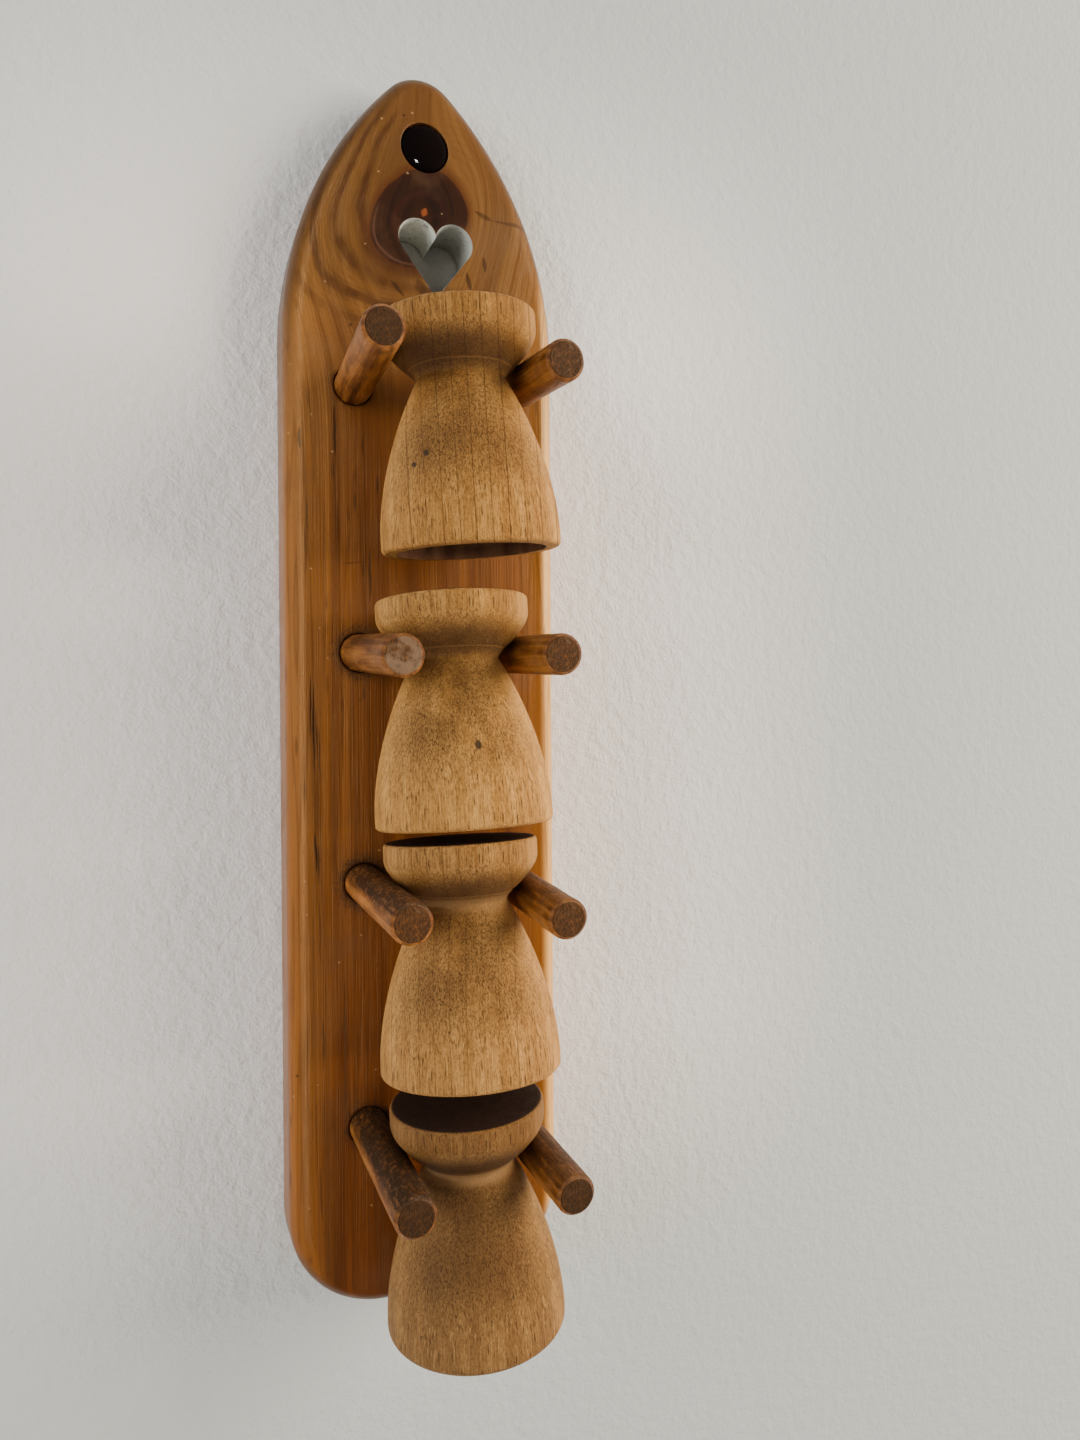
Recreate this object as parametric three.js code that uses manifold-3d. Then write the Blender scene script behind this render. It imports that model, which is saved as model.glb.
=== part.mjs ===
// A wall-hung wooden rack for egg cups: a pointed-arch backboard, eight dowel pegs in rows of two,
// and four turned egg cups that hang upside down by the waist between the pegs of each row.
// Units are millimetres. +Z is up, +X is right, and -Y points out of the wall into the room.
// The origin is the middle of the backboard's flat back face.
import * as THREE from "three";
import { mergeVertices } from "three/addons/utils/BufferGeometryUtils.js";
import Module from "manifold-3d";

const wasm = await Module();
wasm.setup();

// ---- Driving dimensions ----

// Gap that every seated or touching piece keeps to its neighbour.
const SEAT_GAP = 0.3;

// Turned egg cup, measured up from its mouth, because it hangs mouth down.
const CUP_HEIGHT = 69;
const RIM_RADIUS = 27;
const RIM_ROUND = 3;
const BOWL_RADIUS = 22.5;
const BOWL_DEPTH = 33;
const WAIST_HEIGHT = 50;
const WAIST_RADIUS = 13.4;
const FOOT_RADIUS = 23.3;
const FOOT_EDGE = 5;
const FOOT_ROUND = 1.4;

// Pegs.
const PEG_DIAMETER = 12;
const PEG_REACH = 61.4;
const PEG_CHAMFER = 1.1;
const SOCKET_DEPTH = 12;
const NECK_PLAY = 3.4; // free room each side of a cup's waist between two pegs
const PAIR_SHIFT = 0.7; // middle of every pair, right of the board's centre line

// How each glued peg stands, from the top row down: shift moves its foot to the right of its nominal
// place in millimetres, and skew turns its tip to the right and droop turns it down in degrees.
const PEG_POSES = [
  { left: { shift: -2.1, skew: -4, droop: 3.3 }, right: { shift: 0.5, skew: -0.5, droop: 5.4 } },
  { left: { shift: -0.8, skew: -0.9, droop: 4 }, right: { shift: 1.7, skew: -3, droop: 3 } },
  { left: { shift: 0.1, skew: 0, droop: 1.6 }, right: { shift: 0.8, skew: -1, droop: 3.9 } },
  { left: { shift: 1, skew: -0.4, droop: 1.4 }, right: { shift: 0.5, skew: 1.1, droop: 3.9 } },
];

// Backboard outline.
const BOARD_WIDTH = 91.4;
const BOARD_THICKNESS = 18;
const LEFT_ARCH_RADIUS = 124;
const RIGHT_ARCH_RADIUS = 113.4;
const TIP_RADIUS = 14;
const TIP_SHIFT = -0.5; // right of the board's centre line
const CORNER_RADIUS = 31;
const FRONT_ROUND = 6;

// Heights down the backboard.
const TIP_TO_TOP_ROW = 105.1;
const ROW_AIR = [16.4, 4.9, 9.7]; // free height between one cup's mouth and the foot below it
const BOTTOM_ROW_TO_EDGE = 59.3;

// Hanging hole and the screw in it.
const TIP_TO_HOLE = 24.4;
const HOLE_DIAMETER = 16;
const HOLE_DEPTH = 6;
const SCREW_DIAMETER = 5;
const SCREW_IN_WALL = 24;
const SCREW_POINT = 6;
const HEAD_EDGE = 4.4;
const HEAD_DOME = 3.6;

// Heart cut-out: two lobes bored side by side and a V sawn down to the tip.
const TIP_TO_HEART = 54.2;
const HEART_SHIFT = 3.6; // right of the board's centre line
const LOBE_RADIUS = 6.3;
const LOBE_OVERLAP = 0.2;
const HEART_DROP = 18.8; // lobe centres to the tip of the V

// How each cup hangs, from the top row down: lean turns its mouth to the right and nod turns it
// outwards, in degrees, and air is the room behind its mouth, to the board's front face.
const CUP_POSES = [
  { lean: 4.4, nod: -2.4, air: 4.6 },
  { lean: 2.4, nod: 2.9, air: 1 },
  { lean: 1.5, nod: 3.5, air: 5.5 },
  { lean: 2.8, nod: -1.1, air: 1.8 },
];

// Facets.
const CUP_SIDES = 28;
const PEG_SIDES = 20;
const FACET_LENGTH = 5;
const LEAST_STEPS = 3;
const OUTLINE_STEPS = 10;
const ROUND_STEPS = 4;
const MERGE_DISTANCE = 1e-4;
const SEAT_STEP = 1.5; // spacing of the points of a cup that are tried against the pegs

// ---- Sizes that follow from them ----

const PEG_RADIUS = PEG_DIAMETER / 2;
const PEG_PITCH = 2 * (WAIST_RADIUS + NECK_PLAY + PEG_RADIUS);
const ROW_DROPS = ROW_AIR.map((air) => CUP_HEIGHT + air);
const BOARD_HEIGHT = TIP_TO_TOP_ROW + ROW_DROPS.reduce((a, b) => a + b) + BOTTOM_ROW_TO_EDGE;
const TIP_Z = BOARD_HEIGHT / 2;
const ROW_Z = ROW_DROPS.reduce((rows, drop) => [...rows, rows.at(-1) - drop], [TIP_Z - TIP_TO_TOP_ROW]);
const FRONT_Y = -BOARD_THICKNESS;
const radians = THREE.MathUtils.degToRad;

// ---- Materials ----

const material = (color, roughness, metalness = 0) =>
  new THREE.MeshStandardMaterial({ color, roughness, metalness });
const varnishedPine = () => material(0x8c551e, 0.35);
const stainedDowel = () => material(0x5a3e2a, 0.55);
const beech = () => material(0xbe965f, 0.6);
const blackEnamel = () => material(0x0c0a0a, 0.2);

// ---- Solids ----

function toSolid(geometry) {
  const bare = geometry.clone();
  bare.deleteAttribute("normal");
  bare.deleteAttribute("uv");
  const merged = mergeVertices(bare, MERGE_DISTANCE);
  return new wasm.Manifold(
    new wasm.Mesh({
      numProp: 3,
      vertProperties: merged.attributes.position.array,
      triVerts: new Uint32Array(merged.index.array),
    }),
  );
}

function toGeometry(solid) {
  const mesh = solid.getMesh();
  const geometry = new THREE.BufferGeometry();
  geometry.setAttribute("position", new THREE.BufferAttribute(mesh.vertProperties, 3));
  geometry.setIndex(new THREE.BufferAttribute(mesh.triVerts, 1));
  geometry.computeVertexNormals();
  return geometry;
}

// A path's points, with steps of about one facet's length along each curve.
function facetPoints(path) {
  const stepsOf = (curve) => Math.max(LEAST_STEPS, Math.ceil(curve.getLength() / FACET_LENGTH));
  const points = path.curves.flatMap((curve) => curve.getPoints(curve.isLineCurve ? 1 : stepsOf(curve)));
  return points.filter((point, i) => i === 0 || point.distanceTo(points[i - 1]) > MERGE_DISTANCE);
}

// A turned piece about +Z, from a path of radius and height that starts and ends on the axis.
function turned(path, sides) {
  const profile = facetPoints(path);
  profile[0].x = 0;
  profile.at(-1).x = 0;
  return new THREE.LatheGeometry(profile, sides).rotateX(Math.PI / 2);
}

// A straight prism of an outline drawn in X and Z, from the depth `front` to the depth `back`.
function prism(shape, front, back) {
  const options = { depth: back - front, bevelEnabled: false, curveSegments: OUTLINE_STEPS };
  return new THREE.ExtrudeGeometry(shape, options).rotateX(Math.PI / 2).translate(0, back, 0);
}

// A round bar along Y.
function bar(radius, front, back, x = 0, z = 0) {
  const length = back - front;
  return new THREE.CylinderGeometry(radius, radius, length, PEG_SIDES).translate(x, (front + back) / 2, z);
}

// The place of a peg: its origin is the peg's foot on the board's front face, and its -Y runs out
// along the peg.
function pegPlace(row, side) {
  const pose = PEG_POSES[row][side];
  const half = (side === "left" ? -PEG_PITCH : PEG_PITCH) / 2;
  const foot = new THREE.Vector3(PAIR_SHIFT + half + pose.shift, FRONT_Y, ROW_Z[row]);
  const turn = new THREE.Euler(radians(pose.droop), 0, radians(pose.skew), "ZXY");
  return new THREE.Matrix4().makeRotationFromEuler(turn).setPosition(foot);
}

// ---- Backboard ----

// One side of the pointed arch, which leaves the board's side upright and runs into the rounded tip:
// its centre, and the angle at which it meets the tip.
function archSide(radius, sign) {
  const centreX = sign * (BOARD_WIDTH / 2 - radius);
  const across = TIP_SHIFT - centreX;
  const rise = Math.sqrt((radius - TIP_RADIUS) ** 2 - across ** 2);
  return { x: centreX, z: TIP_Z - TIP_RADIUS - rise, turn: Math.atan2(rise, across) };
}

// The outline of the board in X and Z, anticlockwise from its lower edge: a round corner, the right
// side of the arch, the rounded tip, the left side and the other corner.
function boardOutline() {
  const right = archSide(RIGHT_ARCH_RADIUS, 1);
  const left = archSide(LEFT_ARCH_RADIUS, -1);
  const bottom = -BOARD_HEIGHT / 2;
  const cornerX = BOARD_WIDTH / 2 - CORNER_RADIUS;
  const cornerZ = bottom + CORNER_RADIUS;
  const outline = new THREE.Shape();
  outline.moveTo(-cornerX, bottom);
  outline.lineTo(cornerX, bottom);
  outline.absarc(cornerX, cornerZ, CORNER_RADIUS, -Math.PI / 2, 0, false);
  outline.absarc(right.x, right.z, RIGHT_ARCH_RADIUS, 0, right.turn, false);
  outline.absarc(TIP_SHIFT, TIP_Z - TIP_RADIUS, TIP_RADIUS, right.turn, left.turn, false);
  outline.absarc(left.x, left.z, LEFT_ARCH_RADIUS, left.turn, Math.PI, false);
  outline.absarc(-cornerX, cornerZ, CORNER_RADIUS, Math.PI, 1.5 * Math.PI, false);
  return outline;
}

// The heart is drawn over the right lobe from where the V meets it, over the left lobe, and down the
// V to its tip.
function heartOutline() {
  const lobeX = LOBE_RADIUS - LOBE_OVERLAP / 2;
  const lobeZ = TIP_Z - TIP_TO_HEART;
  const slant = Math.hypot(lobeX, HEART_DROP);
  const side = Math.atan2(HEART_DROP, lobeX) - Math.asin(LOBE_RADIUS / slant);
  const cleft = Math.acos(lobeX / LOBE_RADIUS);
  const start = side - Math.PI / 2;
  const heart = new THREE.Shape();
  heart.absarc(HEART_SHIFT + lobeX, lobeZ, LOBE_RADIUS, start, Math.PI - cleft, false);
  heart.absarc(HEART_SHIFT - lobeX, lobeZ, LOBE_RADIUS, cleft, Math.PI - start, false);
  heart.lineTo(HEART_SHIFT, lobeZ - HEART_DROP);
  heart.closePath();
  return heart;
}

// The outline is extruded with its edges rounded, then cut flat at the back face.
function roundedBoard() {
  const options = {
    depth: BOARD_THICKNESS,
    bevelThickness: FRONT_ROUND,
    bevelSize: FRONT_ROUND,
    bevelOffset: -FRONT_ROUND,
    bevelSegments: ROUND_STEPS,
    curveSegments: OUTLINE_STEPS,
  };
  const blank = new THREE.ExtrudeGeometry(boardOutline(), options)
    .rotateX(Math.PI / 2)
    .translate(0, FRONT_Y + FRONT_ROUND + BOARD_THICKNESS, 0);
  const behind = new THREE.BoxGeometry(2 * BOARD_WIDTH, 2 * BOARD_THICKNESS, 2 * BOARD_HEIGHT);
  return toSolid(blank).subtract(toSolid(behind.translate(0, BOARD_THICKNESS, 0)));
}

function backboard() {
  const front = FRONT_Y - BOARD_THICKNESS;
  const back = BOARD_THICKNESS;
  const holeZ = TIP_Z - TIP_TO_HOLE;
  const holeFloor = FRONT_Y + HOLE_DEPTH;
  const cuts = [
    prism(heartOutline(), front, back),
    bar(HOLE_DIAMETER / 2, front, holeFloor, 0, holeZ),
    bar(SCREW_DIAMETER / 2 + SEAT_GAP, front, back, 0, holeZ),
  ];
  for (const row of ROW_Z.keys()) {
    for (const side of ["left", "right"]) {
      const socket = bar(PEG_RADIUS + SEAT_GAP, -BOARD_THICKNESS, SOCKET_DEPTH);
      cuts.push(socket.applyMatrix4(pegPlace(row, side)));
    }
  }
  const solid = cuts.reduce((left, cut) => left.subtract(toSolid(cut)), roundedBoard());
  return new THREE.Mesh(toGeometry(solid), varnishedPine());
}

// ---- Hanging screw ----

// Turned about +Z with its dome up, then laid along -Y with its head seated in the hole.
function hangingScrew() {
  const headRadius = HOLE_DIAMETER / 2 - SEAT_GAP;
  const shankRadius = SCREW_DIAMETER / 2;
  const shankEnd = -(BOARD_THICKNESS - HOLE_DEPTH + SEAT_GAP + SCREW_IN_WALL);
  const path = new THREE.Path();
  path.moveTo(0, shankEnd);
  path.lineTo(shankRadius, shankEnd + SCREW_POINT);
  path.lineTo(shankRadius, 0);
  path.lineTo(headRadius, 0);
  path.lineTo(headRadius, HEAD_EDGE);
  path.absellipse(0, HEAD_EDGE, headRadius, HEAD_DOME, 0, Math.PI / 2, false);
  const screw = new THREE.Mesh(turned(path, PEG_SIDES), blackEnamel());
  screw.rotation.x = Math.PI / 2;
  screw.position.set(0, FRONT_Y + HOLE_DEPTH - SEAT_GAP, TIP_Z - TIP_TO_HOLE);
  return screw;
}

// ---- Pegs ----

// A dowel with a chamfered tip and its inner end a seat gap off the socket's floor, turned about +Z
// from its foot on the board's front face and then laid along -Y.
function peg(row, side) {
  const innerEnd = SEAT_GAP - SOCKET_DEPTH;
  const path = new THREE.Path();
  path.moveTo(0, innerEnd);
  path.lineTo(PEG_RADIUS, innerEnd);
  path.lineTo(PEG_RADIUS, PEG_REACH - PEG_CHAMFER);
  path.lineTo(PEG_RADIUS - PEG_CHAMFER, PEG_REACH);
  path.lineTo(0, PEG_REACH);
  const mesh = new THREE.Mesh(turned(path, PEG_SIDES).rotateX(Math.PI / 2), stainedDowel());
  mesh.applyMatrix4(pegPlace(row, side));
  return mesh;
}

// ---- Egg cups ----

// Handles of the turned curves, as shares of the height and width of the stretch each one spans:
// the belly from rim to waist, the neck from waist to shoulder, and the shoulder up to the foot.
const BELLY = { plumb: 0.415, tuck: 0.3, rise: 0.15 };
const NECK = { hollow: 0.06, plumb: 0.14, sweep: 0.43, rise: 0.3 };
const SHOULDER = { out: 0.7, up: 0.57, plumb: 0.2 };

// The cup's profile from the top of its egg hollow, down to the mouth, round the rim, up the belly
// to the waist, out under the foot and over the foot's flat face.
function cupProfile() {
  const body = WAIST_HEIGHT - RIM_ROUND;
  const swell = RIM_RADIUS - WAIST_RADIUS;
  const footStart = CUP_HEIGHT - FOOT_EDGE;
  const neck = footStart - WAIST_HEIGHT;
  const flare = FOOT_RADIUS - WAIST_RADIUS;
  const path = new THREE.Path();
  path.moveTo(0, BOWL_DEPTH);
  path.absellipse(0, 0, BOWL_RADIUS, BOWL_DEPTH, Math.PI / 2, 0, true);
  path.lineTo(RIM_RADIUS - RIM_ROUND, 0);
  path.absarc(RIM_RADIUS - RIM_ROUND, RIM_ROUND, RIM_ROUND, -Math.PI / 2, 0, false);
  path.bezierCurveTo(
    RIM_RADIUS,
    RIM_ROUND + BELLY.plumb * body,
    WAIST_RADIUS + BELLY.tuck * swell,
    WAIST_HEIGHT - BELLY.rise * body,
    WAIST_RADIUS,
    WAIST_HEIGHT,
  );
  path.bezierCurveTo(
    WAIST_RADIUS - NECK.hollow * flare,
    WAIST_HEIGHT + NECK.plumb * neck,
    WAIST_RADIUS + NECK.sweep * flare,
    WAIST_HEIGHT + NECK.rise * neck,
    WAIST_RADIUS + SHOULDER.out * flare,
    WAIST_HEIGHT + SHOULDER.up * neck,
  );
  path.quadraticCurveTo(FOOT_RADIUS, footStart - SHOULDER.plumb * neck, FOOT_RADIUS, footStart);
  path.absarc(FOOT_RADIUS - FOOT_ROUND, CUP_HEIGHT - FOOT_ROUND, FOOT_ROUND, 0, Math.PI / 2, false);
  path.lineTo(0, CUP_HEIGHT);
  return path;
}

// How high a cup has to be lifted for the point to stay a seat gap clear over a peg. A point that
// never comes over the peg gives minus infinity.
function liftOver(point, place) {
  const along = new THREE.Vector3().setFromMatrixColumn(place, 1);
  const level = (vector) => vector.clone().addScaledVector(along, -vector.dot(along));
  const away = level(new THREE.Vector3().setFromMatrixPosition(place).sub(point).negate());
  const lift = level(new THREE.Vector3(0, 0, 1));
  const keepOff = PEG_RADIUS + SEAT_GAP;
  const dot = away.dot(lift);
  const spread = dot ** 2 - lift.lengthSq() * (away.lengthSq() - keepOff ** 2);
  return spread < 0 ? -Infinity : (Math.sqrt(spread) - dot) / lift.lengthSq();
}

// The points of a cup above its waist, close together, turned and set at its depth.
function seatPoints(geometry, rotation, depth) {
  const { position } = toGeometry(toSolid(geometry).refineToLength(SEAT_STEP)).attributes;
  const points = [];
  for (let i = 0; i < position.count; i++) {
    const point = new THREE.Vector3().fromBufferAttribute(position, i);
    if (point.z > WAIST_HEIGHT) points.push(point.applyEuler(rotation).setY(point.y + depth));
  }
  return points;
}

// The sideways place and the height at which the cup rests on both of its pegs.
function seatOnPegs(points, row) {
  const restOn = (side, x) => {
    const place = pegPlace(row, side);
    const lifts = points.map((point) => liftOver(point.clone().setX(point.x + x), place));
    return lifts.reduce((high, lift) => Math.max(high, lift));
  };
  let [low, high] = [-PEG_PITCH / 4, PEG_PITCH / 4];
  while (high - low > MERGE_DISTANCE) {
    const middle = (low + high) / 2;
    if (restOn("right", middle) > restOn("left", middle)) high = middle;
    else low = middle;
  }
  return { x: low, z: Math.max(restOn("left", low), restOn("right", low)) };
}

function eggCup(row) {
  const pose = CUP_POSES[row];
  const mesh = new THREE.Mesh(turned(cupProfile(), CUP_SIDES), beech());
  mesh.rotation.set(-radians(pose.nod), -radians(pose.lean), 0);
  const depth = FRONT_Y - pose.air - RIM_RADIUS;
  const seat = seatOnPegs(seatPoints(mesh.geometry, mesh.rotation, depth), row);
  mesh.position.set(seat.x, depth, seat.z);
  return mesh;
}

// ---- The rack ----

const rack = new THREE.Group();

function add(name, mesh) {
  mesh.name = name;
  rack.add(mesh);
}

add("backboard", backboard());
add("hanging_screw", hangingScrew());
for (const row of ROW_Z.keys()) {
  add(`peg_${row + 1}_left`, peg(row, "left"));
  add(`peg_${row + 1}_right`, peg(row, "right"));
  add(`egg_cup_${row + 1}`, eggCup(row));
}

export default rack;
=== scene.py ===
import math

import bmesh
import bpy
from mathutils import Matrix, Vector, noise
from mathutils.geometry import delaunay_2d_cdt


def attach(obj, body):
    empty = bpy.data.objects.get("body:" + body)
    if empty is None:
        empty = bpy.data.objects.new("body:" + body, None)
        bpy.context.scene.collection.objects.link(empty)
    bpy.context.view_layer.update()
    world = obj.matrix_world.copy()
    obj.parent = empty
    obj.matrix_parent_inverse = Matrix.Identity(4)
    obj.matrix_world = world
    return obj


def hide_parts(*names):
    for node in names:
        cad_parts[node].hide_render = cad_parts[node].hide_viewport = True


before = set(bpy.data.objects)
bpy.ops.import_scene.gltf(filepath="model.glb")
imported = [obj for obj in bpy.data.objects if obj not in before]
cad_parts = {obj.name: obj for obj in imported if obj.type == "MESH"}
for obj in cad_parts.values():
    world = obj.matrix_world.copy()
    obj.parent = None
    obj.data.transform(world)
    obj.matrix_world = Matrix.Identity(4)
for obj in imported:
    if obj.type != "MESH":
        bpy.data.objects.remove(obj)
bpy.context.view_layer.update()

MM = 0.001
# Faces that meet at more than this many degrees show a sharp edge.
CREASE = 38
# How many sides the round forms have.
SOCKET_SIDES, HOLE_SIDES, PEG_SIDES, SCREW_SIDES, CUP_SIDES = 48, 64, 64, 72, 144


# ---- Sizes of the rack, in millimetres and degrees ----

BOARD_HALF_WIDTH = 45.7
BOARD_FRONT = -18.0
BOARD_BOTTOM = -201.2
CORNER_RADIUS = 31.0
TIP_CENTRE = (-0.5, 187.2)
TIP_RADIUS = 14.0
RIGHT_ARCH = {"centre": (-67.7, 113.96), "radius": 113.4}
LEFT_ARCH = {"centre": (78.3, 110.45), "radius": 124.0}
# Where the arches meet the tip, and how far the tip's own curve starts inside that.
RIGHT_TURN = 47.46
LEFT_TURN = 135.75
TIP_BLEND = 4
FRONT_ROUND = 6.0
BACK_EASE = 0.5

HOLE_Z = 176.8
HOLE_RADIUS = 8.0
HOLE_FLOOR = -12.0
BORE_RADIUS = 2.8

HEART_X = 3.6
HEART_Z = 147.0
LOBE_RADIUS = 6.3
LOBE_HALF_PITCH = 6.2
HEART_DROP = 18.8

# The sanded edges of the cuts in the board's face: (how much wider, how deep).
SANDED = [(0.35, 0.0), (0.1, 0.1), (0.0, 0.35)]
SANDED_SOCKET = [(0.3, 0.0), (0.1, 0.1), (0.0, 0.35)]

PEG_RADIUS = 6.0
PEG_REACH = 61.4
PEG_CHAMFER = 1.1
PEG_DENT = 0.13
SOCKET_RADIUS = 6.3
SOCKET_DEPTH = 12.0
# The gap behind a peg's end and behind the screw's head.
SEAT_GAP = 0.3

SCREW_HEAD_RADIUS = 7.7
SCREW_HEAD_RIM = 4.2
SCREW_DOME_START = 4.4
SCREW_HEAD_TOP = 8.0
SHANK_RADIUS = 2.5
SHANK_LENGTH = 36.3
SHANK_POINT = 6
# The thread: its turns, its profile in steps, and how far below the head it stops.
THREAD_TURNS = 14
THREAD = (0.0, -0.28, -0.5, -0.22)
THREAD_STOP = 3

# A cup, measured from its mouth up to its flat foot.
MOUTH_RADIUS = 27
HOLLOW_RADIUS = 22.5
HOLLOW_DEPTH = 33.0
HOLLOW_STEPS = 40
WAIST_RADIUS, WAIST_Z = 13.4, 50
SHOULDER_RADIUS, SHOULDER_Z = 20.33, 57.98
GROOVE_Z, GROOVE_WIDTH, GROOVE_DEPTH = 53.2, 0.2, 0.22
FOOT_RADIUS = 23.3
FOOT_EDGE = 1.4
CUP_HEIGHT = 69.0

# Each peg's foot on the board's front face (x, z), its skew to the right, and its droop.
PEGS = {
    "peg_1_left": (-24.2, 96.1, -4.0, 3.3),
    "peg_1_right": (24.0, 96.1, -0.5, 5.4),
    "peg_2_left": (-22.9, 10.7, -0.9, 4.0),
    "peg_2_right": (25.2, 10.7, -3.0, 3.0),
    "peg_3_left": (-22.0, -63.2, 0.0, 1.6),
    "peg_3_right": (24.3, -63.2, -1.0, 3.9),
    "peg_4_left": (-21.1, -141.9, -0.4, 1.4),
    "peg_4_right": (24.0, -141.9, 1.1, 3.9),
}

# Each cup's mouth centre (x, y, z), its lean to the right, its nod outwards, and how much the
# outside of its rim is rounded.
CUPS = {
    "egg_cup_1": (4.897, -49.6, 39.903, 4.4, -2.4, 1.5),
    "egg_cup_2": (3.261, -46.0, -42.873, 2.4, 2.9, 1.5),
    "egg_cup_3": (3.357, -50.5, -115.935, 1.5, 3.5, 1.5),
    "egg_cup_4": (5.833, -46.8, -194.672, 2.8, -1.1, 3.0),
}


# ---- Making closed meshes ----


class Shell:
    """A closed body that is made up from rings of points, joined by bands and closed by faces."""

    def __init__(self):
        self.points = []
        self.faces = []
        self.finish = []

    def ring(self, points):
        first = len(self.points)
        self.points.extend(points)
        return list(range(first, len(self.points)))

    def face(self, corners, finish=0):
        self.faces.append(tuple(corners))
        self.finish.append(finish)

    def bands(self, rings, finish=0):
        for a, b in zip(rings, rings[1:]):
            for i in range(len(a)):
                j = (i + 1) % len(a)
                self.face((a[i], a[j], b[j], b[i]), finish)

    def cone(self, ring, point, finish=0):
        (tip,) = self.ring([point])
        for i in range(len(ring)):
            self.face((ring[i], ring[(i + 1) % len(ring)], tip), finish)

    def plate(self, loops, inner, y):
        """A flat face at depth y with the first loop as its edge and the others as its holes."""
        ids = [i for loop in loops for i in loop]
        flat = [Vector((self.points[i][0], self.points[i][2])) for i in ids]
        edges = []
        start = 0
        for loop in loops:
            n = len(loop)
            edges += [(start + k, start + (k + 1) % n) for k in range(n)]
            start += n
        flat += [Vector(p) for p in inner]
        found, _, faces, origin, _, _ = delaunay_2d_cdt(flat, edges, [], 4, 1e-5)
        names = []
        for p, source in zip(found, origin):
            known = [s for s in source if s < len(ids)]
            names.append(ids[known[0]] if known else self.ring([(p.x, y, p.y)])[0])
        holes = [[flat[ids.index(i)] for i in loop] for loop in loops[1:]]
        for f in faces:
            middle = sum((found[i] for i in f), Vector((0, 0))) / len(f)
            if not any(encloses(hole, middle) for hole in holes):
                self.face([names[i] for i in f])

    def build(self, name, finishes, place=None):
        mesh = bpy.data.meshes.new(name)
        mesh.from_pydata([Vector(p) * MM for p in self.points], [], self.faces)
        for polygon, finish in zip(mesh.polygons, self.finish):
            polygon.material_index = finish
            polygon.use_smooth = True
        for finish in finishes:
            mesh.materials.append(finish)
        work = bmesh.new()
        work.from_mesh(mesh)
        bmesh.ops.recalc_face_normals(work, faces=work.faces)
        work.to_mesh(mesh)
        work.free()
        mesh.set_sharp_from_angle(angle=math.radians(CREASE))
        return show(name, mesh, place)


def show(name, data, place=None):
    """Puts a mesh, light or camera into the scene."""
    made = bpy.data.objects.new(name, data)
    bpy.context.scene.collection.objects.link(made)
    if place is not None:
        made.matrix_world = place
    return made


def spin(degrees, axis):
    """A turn about one axis."""
    return Matrix.Rotation(math.radians(degrees), 4, axis)


def encloses(loop, point):
    """True if the point lies within the closed loop."""
    within = False
    for a, b in zip(loop, loop[1:] + loop[:1]):
        if (a.y > point.y) != (b.y > point.y):
            if point.x < a.x + (point.y - a.y) / (b.y - a.y) * (b.x - a.x):
                within = not within
    return within


def circle(radius, steps):
    turns = [2 * math.pi * k / steps for k in range(steps)]
    return [(radius * math.cos(t), radius * math.sin(t)) for t in turns]


def turned(shell, profile, sides, inner=0):
    """Turns a profile of (radius, height) about +Z. It starts and ends on the axis, and its first
    stretches, as many as inner says, take the piece's second finish."""
    rings = []
    for radius, height in profile[1:-1]:
        rings.append(shell.ring([(x, y, height) for x, y in circle(radius, sides)]))
    shell.cone(rings[0], (0, 0, profile[0][1]), 1 if inner else 0)
    shell.bands(rings[: inner + 1], 1)
    shell.bands(rings[inner:])
    shell.cone(rings[-1], (0, 0, profile[-1][1]))


def arc(centre, radius, start, end, steps):
    cx, cz = centre
    turns = [math.radians(start + (end - start) * k / steps) for k in range(steps + 1)]
    return [(cx + radius * math.cos(t), cz + radius * math.sin(t)) for t in turns]


def bezier(a, b, c, d, steps):
    a, b, c, d = (Vector(p) for p in (a, b, c, d))
    found = []
    for k in range(steps + 1):
        t = k / steps
        s = 1 - t
        p = a * s**3 + b * 3 * s * s * t + c * 3 * s * t * t + d * t**3
        found.append((p.x, p.y))
    return found


def thinned(points, least=0.02):
    """Leaves out each point that is no further than least from the one kept before it."""
    kept = [points[0]]
    for p in points[1:]:
        if math.dist(p, kept[-1]) > least:
            kept.append(p)
    return kept


# ---- Shader building ----


class Flow:
    """A value on its way through a shader's tree. Flows are reckoned with like numbers."""

    def __init__(self, socket):
        self.socket = socket
        self.tree = socket.id_data

    def __add__(self, other):
        return calc("ADD", self, other)

    def __sub__(self, other):
        return calc("SUBTRACT", self, other)

    def __rsub__(self, other):
        return calc("SUBTRACT", other, self)

    def __mul__(self, other):
        return calc("MULTIPLY", self, other)

    def __truediv__(self, other):
        return calc("DIVIDE", self, other)

    def __rtruediv__(self, other):
        return calc("DIVIDE", other, self)

    def __abs__(self):
        return calc("ABSOLUTE", self)


def tone(red, green, blue):
    """A colour as it is named on a paint card, 0 to 255, for a shader."""

    def linear(c):
        c /= 255
        return c / 12.92 if c <= 0.04045 else ((c + 0.055) / 1.055) ** 2.4

    return (linear(red), linear(green), linear(blue), 1.0)


def grey(level):
    """A factor to lighten or darken a colour with."""
    return (level, level, level, 1)


def join(node, inputs):
    """Links each flow to its input of the node, and sets the inputs that are plain values."""
    for key, value in inputs.items():
        if isinstance(value, Flow):
            value.tree.links.new(value.socket, node.inputs[key])
        else:
            node.inputs[key].default_value = value


def put(tree, kind, inputs=None, **settings):
    node = tree.nodes.new("ShaderNode" + kind)
    for key, value in settings.items():
        setattr(node, key, value)
    join(node, inputs or {})
    return node


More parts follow.
